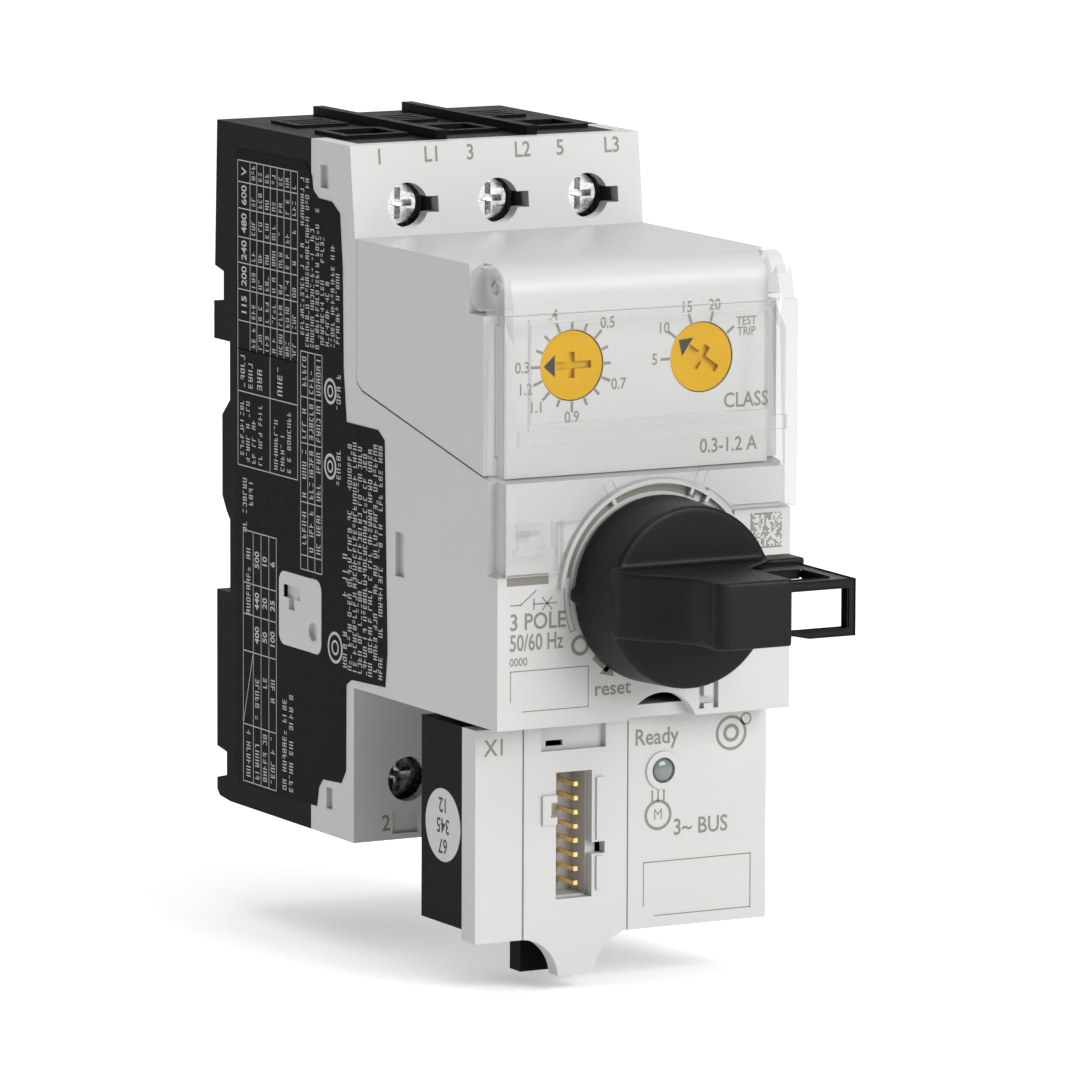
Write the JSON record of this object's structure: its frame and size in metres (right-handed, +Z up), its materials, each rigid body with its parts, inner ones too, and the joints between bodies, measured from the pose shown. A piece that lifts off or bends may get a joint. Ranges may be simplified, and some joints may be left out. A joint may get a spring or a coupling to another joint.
{
  "type": "motor protection breaker",
  "caption": "Rail-mounted motor protection breaker with a lockable rotary handle, electronic trip block under a hinged clear cover, setting dials and a plug-in module.",
  "frame": {"origin": "middle of the rail seat: half the width, on the seat plane, on the rail's centre line", "axes": "+X to the operator's right, +Y back towards the rail, +Z up"},
  "size_m": [0.045, 0.1118, 0.111],
  "materials": {
    "black_plastic": "satin moulded",
    "grey_plastic": "fine moulded",
    "label_black": "glossy film",
    "latch_grey": "satin moulded",
    "spring_steel": "bright wire",
    "copper": "plain copper",
    "zinc_steel": "zinc plated",
    "chute_grey": "fibre and steel plate",
    "carrier_brown": "thermoset",
    "silver_contact": "copper with silver tips",
    "winding": "varnished winding",
    "knob_black": "fine textured",
    "dial_yellow": "satin moulded",
    "pot_blue": "moulded",
    "board_green": "solder mask",
    "clear_plastic": "clear polycarbonate",
    "pin_gold": "gold plated",
    "lens_white": "diffusing"
  },
  "bodies": {
    "housing": {"side_port": "grey_plastic", "base_housing": "black_plastic", "top_insert": "black_plastic", "front_housing": "grey_plastic", "load_hood": "grey_plastic", "side_label": "label_black", "line_busbars": "copper", "load_busbars": "copper", "line_clamps": "zinc_steel", "load_clamps": "zinc_steel", "arc_chutes": "chute_grey", "current_transformers": "winding", "mechanism_frame": "zinc_steel", "trip_block_housing": "grey_plastic", "trip_panel": "grey_plastic", "setting_potentiometers": "pot_blue", "trip_circuit_board": "board_green", "trip_magnet_frame": "zinc_steel", "trip_magnet_coil": "winding", "trip_block_plug": "black_plastic", "module_front_shell": "grey_plastic", "module_rear_shell": "black_plastic", "module_board": "board_green", "connector_insert": "grey_plastic", "connector_pins": "pin_gold", "status_lens": "lens_white", "housing_screws": "zinc_steel", "rail_latch_spring": "spring_steel"},
    "rail_latch": {"rail_latch": "latch_grey"},
    "contact_carrier": {"contact_carrier": "carrier_brown", "moving_contacts": "silver_contact", "contact_springs": "spring_steel"},
    "handle": {"knob": "knob_black", "knob_shaft": "zinc_steel"},
    "lock_slide": {"lock_slide": "knob_black"},
    "trip_plunger": {"trip_plunger": "zinc_steel"},
    "clear_cover": {"clear_cover": "clear_plastic"},
    "current_dial": {"current_dial": "dial_yellow"},
    "class_dial": {"class_dial": "dial_yellow"},
    "module_latch": {"module_latch": "black_plastic"},
    "line_screw_1": {"line_screw_1": "zinc_steel"},
    "line_screw_2": {"line_screw_2": "zinc_steel"},
    "line_screw_3": {"line_screw_3": "zinc_steel"},
    "load_screw_1": {"load_screw_1": "zinc_steel"},
    "load_screw_2": {"load_screw_2": "zinc_steel"},
    "load_screw_3": {"load_screw_3": "zinc_steel"}
  },
  "joints": [
    {"name": "handle_turn", "type": "hinge", "parent": "housing", "child": "handle", "pos_m": [0.0015, -0.08, -0.008], "axis": [0, 1, 0], "range_deg": [-30, 90]},
    {"name": "lock_pull", "type": "slide", "parent": "handle", "child": "lock_slide", "axis": [1, 0, 0], "range_m": [-0.007, 0]},
    {"name": "contact_travel", "type": "slide", "parent": "housing", "child": "contact_carrier", "axis": [0, 1, 0], "range_m": [-0.00133, 0.004]},
    {"name": "cover_hinge", "type": "hinge", "parent": "housing", "child": "clear_cover", "pos_m": [0, -0.0741, 0.033], "axis": [-1, 0, 0], "range_deg": [0, 110]},
    {"name": "current_dial_turn", "type": "hinge", "parent": "housing", "child": "current_dial", "pos_m": [-0.0099, -0.076, 0.02235], "axis": [0, 1, 0], "range_deg": [0, 330]},
    {"name": "class_dial_turn", "type": "hinge", "parent": "housing", "child": "class_dial", "pos_m": [0.0099, -0.076, 0.02235], "axis": [0, 1, 0], "range_deg": [-36, 107]},
    {"name": "trip_plunger_strike", "type": "slide", "parent": "housing", "child": "trip_plunger", "axis": [0, 1, 0], "range_m": [0, 0.0022], "stiffness_N_per_m": 400, "springref_m": -0.0005},
    {"name": "rail_latch_pull", "type": "slide", "parent": "housing", "child": "rail_latch", "axis": [0, 0, -1], "range_m": [0, 0.004], "stiffness_N_per_m": 800, "springref_m": -0.001, "deforming": ["rail_latch_spring"]},
    {"name": "module_latch_pull", "type": "slide", "parent": "housing", "child": "module_latch", "axis": [0, 0, 1], "range_m": [0, 0.0012], "stiffness_N_per_m": 500, "springref_m": -0.0005},
    {"name": "line_screw_1_turn", "type": "hinge", "parent": "housing", "child": "line_screw_1", "pos_m": [-0.014, -0.033, 0.0401], "axis": [0, 1, 0], "range_deg": [-720, 0]},
    {"name": "line_screw_2_turn", "type": "hinge", "parent": "housing", "child": "line_screw_2", "pos_m": [0, -0.033, 0.0401], "axis": [0, 1, 0], "range_deg": [-720, 0]},
    {"name": "line_screw_3_turn", "type": "hinge", "parent": "housing", "child": "line_screw_3", "pos_m": [0.014, -0.033, 0.0401], "axis": [0, 1, 0], "range_deg": [-720, 0]},
    {"name": "load_screw_1_turn", "type": "hinge", "parent": "housing", "child": "load_screw_1", "pos_m": [-0.014, -0.033, -0.0391], "axis": [0, 1, 0], "range_deg": [-720, 0]},
    {"name": "load_screw_2_turn", "type": "hinge", "parent": "housing", "child": "load_screw_2", "pos_m": [0, -0.033, -0.0391], "axis": [0, 1, 0], "range_deg": [-720, 0]},
    {"name": "load_screw_3_turn", "type": "hinge", "parent": "housing", "child": "load_screw_3", "pos_m": [0.014, -0.033, -0.0391], "axis": [0, 1, 0], "range_deg": [-720, 0]}
  ],
  "couplings": [
    {"joint": "handle_turn", "follows": "contact_travel", "rad_per_m": 392.7}
  ]
}
